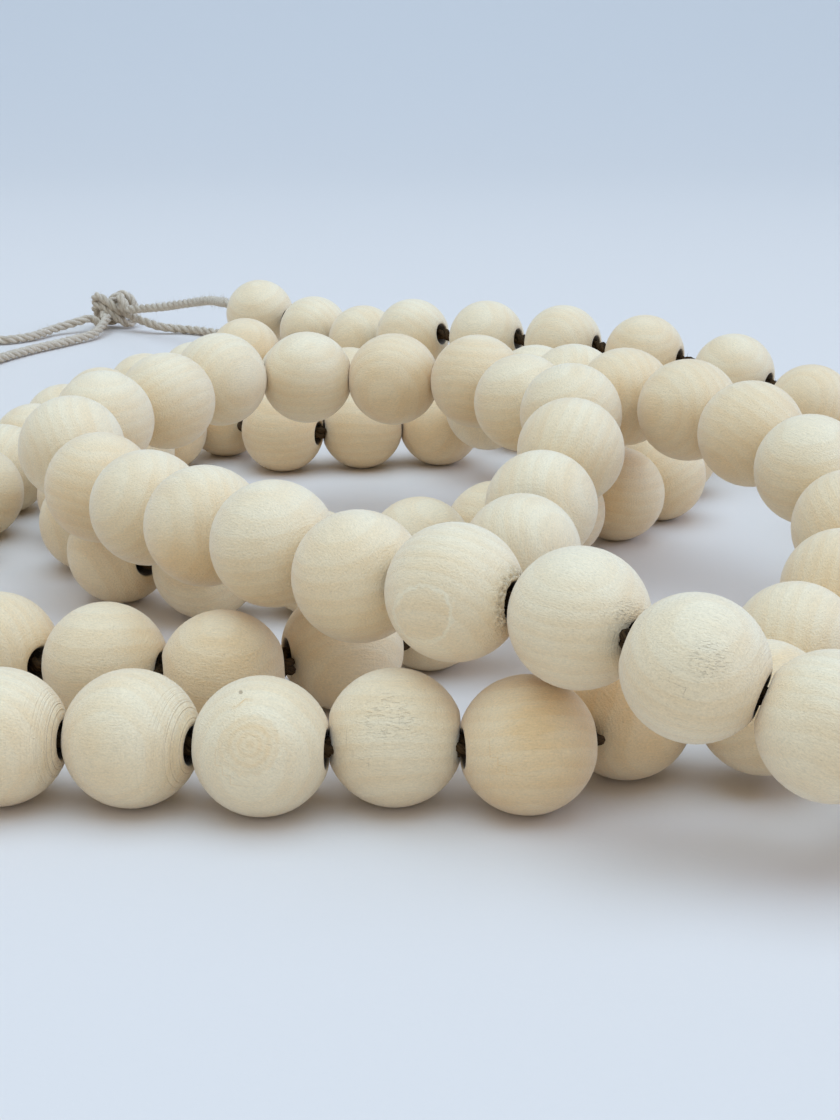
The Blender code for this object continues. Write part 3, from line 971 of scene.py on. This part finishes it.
class GARLAND_OT_beads(bpy.types.Operator):
    """Add the drilled wooden beads, three to a piece"""

    bl_idname = "garland.beads"
    bl_label = "Beads"

    def execute(self, context):
        sizes = context.scene.garland_sizes
        strand = Strand(sizes)
        wood = finish_named("natural_wood", wood_finish)
        rng = np.random.default_rng(5)
        shapes = {}
        for fineness in (1, CHIPPED_FINENESS):
            bead = model_bead(sizes, fineness)
            shapes[fineness] = (np.array([corner.co for corner in bead.data.vertices]) / MM,
                                [tuple(face.vertices) for face in bead.data.polygons])
            bpy.data.objects.remove(bead, do_unlink=True)
        for start in range(0, BEAD_COUNT, BEADS_PER_RUN):
            parts = Parts()
            for i in range(start, start + BEADS_PER_RUN):
                shape, faces = shapes[CHIPPED_FINENESS if i in CHIPPED else 1]
                place = strand.centres[i] + shape @ frame_about(strand.axes[i], rng.uniform(0, math.tau)).T
                fields = bead_fields(place, i, strand, rng)
                if i in CHIPPED:
                    place = chip_rim(place, i, strand, fields)
                place = press_flat(place, i, strand)
                parts.add(place, faces, **fields)
            run = f"beads_{start // BEADS_PER_RUN + 1:02d}"
            piece = parts.finish(run + "_wood", wood)
            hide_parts(run)
        return {"FINISHED"}


def strand_line(strand):
    """Centre line of the twine through all beads, finely stepped where it may show."""
    mouths = strand.axes * strand.flat
    near_mouth = np.array(MOUTH_SHARES)
    inside = np.concatenate([-near_mouth[::-1], np.linspace(-INNER_SHARE, INNER_SHARE, INNER_STEPS), near_mouth])
    line = []
    for i in range(BEAD_COUNT):
        line += [strand.centres[i] + mouths[i] * share for share in inside]
        if i < BEAD_COUNT - 1:
            ends = np.array([strand.centres[i] + mouths[i], strand.centres[i + 1] - mouths[i + 1]])
            gap = np.linalg.norm(ends[1] - ends[0])
            count = max(2, round(gap / FINE_STEP) + 1)
            for t in np.linspace(0, 1, count + 1)[1:-1]:
                start, leaving, arriving = curve_shares(t)
                line.append(start * ends[0] + (1 - start) * ends[1]
                            + GAP_PULL * gap * (leaving * strand.axes[i] + arriving * strand.axes[i + 1]))
    return np.array(line)


class GARLAND_OT_threading(bpy.types.Operator):
    """Add the twine that runs through the beads, with its loose fibres in the gaps"""

    bl_idname = "garland.threading"
    bl_label = "Twine through the beads"

    def execute(self, context):
        strand = Strand(context.scene.garland_sizes)
        jute = finish_named("jute_twine", shaded_threaded_jute)
        parts = Parts()
        add_plies(parts, strand_line(strand), strand.twine * SNUG, strand.lay)
        parts.finish("twine_through_beads", jute)
        rng = np.random.default_rng(23)
        loose = Parts()
        for i in range(BEAD_COUNT - 1):
            start = strand.centres[i] + strand.axes[i] * strand.flat
            end = strand.centres[i + 1] - strand.axes[i + 1] * strand.flat
            gap = np.linalg.norm(end - start)
            line = np.linspace(start, end, GAP_STEPS)
            fuzz(loose, strand, line, GAP_FUZZ + GAP_FUZZ_MORE / gap, GAP_FUZZ_LENGTHS, rng,
                 min(1.0, gap / GAP_SPREAD))
        loose.finish("fibres_in_gaps", jute)
        return {"FINISHED"}


def knot_turns():
    """The way of the doubled twine through the overhand knot, opened at the front."""
    t = np.linspace(math.pi + KNOT_OPENING, 3 * math.pi - KNOT_OPENING, KNOT_STEPS)
    return np.stack([KNOT_SIZES[0] * (np.sin(t) + 2 * np.sin(2 * t)),
                     KNOT_SIZES[1] * (np.cos(t) - 2 * np.cos(2 * t)) + KNOT_FORWARD,
                     -KNOT_SIZES[2] * np.sin(3 * t)], axis=1)


class GARLAND_OT_knot(bpy.types.Operator):
    """Add the overhand knot that ties the two ends together"""

    bl_idname = "garland.knot"
    bl_label = "Knot"

    def execute(self, context):
        strand = Strand(context.scene.garland_sizes)
        jute = finish_named("jute_twine_bare", lit_bare_jute)
        rng = np.random.default_rng(31)
        ends = {name: bare_line(name, strand) for name in TWINE_ROUTES}
        middle = np.array(KNOT_CENTRE) + (0.0, 0.0, KNOT_RAISE)
        parts = Parts()
        for end, way in (("first", 1), ("last", -1)):
            turns = middle + knot_turns()[::way] + (0.0, 0.0, KNOT_LIFT * way)
            line = twine_line(np.concatenate([[ends["twine_" + end][-1]], turns, [ends["tail_" + end][0]]]))
            add_plies(parts, line, strand.twine, strand.lay, rng.uniform(0, math.tau))
            fuzz(parts, strand, line, KNOT_FUZZ, KNOT_FUZZ_LENGTHS, rng)
        piece = parts.finish("knot_jute", jute)
        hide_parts("knot")
        return {"FINISHED"}


# Stage, in metres

SURFACE_SIZE = 60.0
SWEEP_START = 0.75  # from where the surface curves upwards behind the garland
SWEEP_ROUND = 1.2
SWEEP_HEIGHT = 3.0
NEAR_EDGE = 0.01
LIGHT_TARGET = (0.0, 0.0, 0.02)
OVERHEAD_PLACE, OVERHEAD_SIZE = (0.0, -0.1, 1.8), 2.0
OVERHEAD_POWER, OVERHEAD_TINT = 29.1, (0.512, 0.729, 1.0)
WINDOW_PLACE, WINDOW_ANGLE = (1.4, 0.0, 0.7), 42
WINDOW_POWER, WINDOW_TINT = 1.24, (0.448, 0.604, 1.0)
SURROUNDINGS_POWER, SURROUNDINGS_TINT = 0.734, (0.764, 0.86, 1.0)


def soft_light(kind, name, location, power, shade):
    """A soft light that faces the garland and isn't seen itself."""
    deselect_all()
    bpy.ops.object.light_add(type=kind, location=location)
    light = bpy.context.object
    light.name = name
    light.rotation_euler = (Vector(LIGHT_TARGET) - Vector(location)).to_track_quat("-Z", "Y").to_euler()
    light.visible_camera = False
    light.data.energy = power
    light.data.color = shade
    return light.data


def add_surface():
    """A wide board whose far edge sweeps up into a backdrop."""
    deselect_all()
    edge = SWEEP_START + SWEEP_ROUND
    bpy.ops.mesh.primitive_plane_add(size=SURFACE_SIZE, location=(0, edge - SURFACE_SIZE / 2, 0))
    floor = bpy.context.object
    floor.name = "surface"
    bpy.ops.object.transform_apply(location=True, rotation=True, scale=True)
    bpy.ops.object.mode_set(mode="EDIT")
    bpy.ops.mesh.select_mode(type="EDGE")
    select_edges(floor, lambda corner: corner.y > edge - NEAR_EDGE)
    bpy.ops.mesh.extrude_edges_move(TRANSFORM_OT_translate={"value": (0, 0, SWEEP_HEIGHT)})
    select_edges(floor, lambda corner: corner.y > edge - NEAR_EDGE and corner.z < NEAR_EDGE)
    bpy.ops.mesh.bevel(offset=SWEEP_ROUND, segments=32, profile=0.5, affect="EDGES")
    bpy.ops.object.mode_set(mode="OBJECT")
    floor.data.shade_smooth()
    floor.data.materials.append(finish_named("pale_surface", surface_finish))


class GARLAND_OT_stage(bpy.types.Operator):
    """Add the pale surface, the soft light and the surroundings"""

    bl_idname = "garland.stage"
    bl_label = "Surface and light"

    def execute(self, context):
        add_surface()
        overhead = soft_light("AREA", "overhead", OVERHEAD_PLACE, OVERHEAD_POWER, OVERHEAD_TINT)
        overhead.shape = "SQUARE"
        overhead.size = OVERHEAD_SIZE
        window = soft_light("SUN", "window", WINDOW_PLACE, WINDOW_POWER, WINDOW_TINT)
        window.angle = math.radians(WINDOW_ANGLE)
        world = bpy.data.worlds.new("surroundings")
        world.use_nodes = True
        background = world.node_tree.nodes["Background"]
        background.inputs["Color"].default_value = colour(SURROUNDINGS_TINT)
        background.inputs["Strength"].default_value = SURROUNDINGS_POWER
        context.scene.world = world
        context.scene.view_settings.view_transform = "Standard"
        return {"FINISHED"}


class GARLAND_PT_panel(bpy.types.Panel):
    """Lists the garland's pieces, sizes and colours"""

    bl_label = "Wood Bead Garland"
    bl_idname = "GARLAND_PT_panel"
    bl_space_type = "VIEW_3D"
    bl_region_type = "UI"
    bl_category = "Garland"

    def draw(self, context):
        for group in (context.scene.garland_sizes, context.scene.garland_colours):
            box = self.layout.box()
            for key in group.__annotations__:
                box.prop(group, key)
        for step in STEPS:
            self.layout.operator(step.bl_idname)


STEPS = (GARLAND_OT_camera, GARLAND_OT_bare_twine, GARLAND_OT_beads, GARLAND_OT_threading, GARLAND_OT_knot,
         GARLAND_OT_stage)
CLASSES = (GarlandSizes, GarlandColours, *STEPS, GARLAND_PT_panel)


def register():
    for kind in CLASSES:
        bpy.utils.register_class(kind)
    bpy.types.Scene.garland_sizes = PointerProperty(type=GarlandSizes)
    bpy.types.Scene.garland_colours = PointerProperty(type=GarlandColours)


def unregister():
    del bpy.types.Scene.garland_colours
    del bpy.types.Scene.garland_sizes
    for kind in reversed(CLASSES):
        bpy.utils.unregister_class(kind)


def main():
    register()
    bpy.ops.garland.camera()
    bpy.ops.garland.bare_twine()
    bpy.ops.garland.beads()
    bpy.ops.garland.threading()
    bpy.ops.garland.knot()
    bpy.ops.garland.stage()


if __name__ == "__main__":
    main()
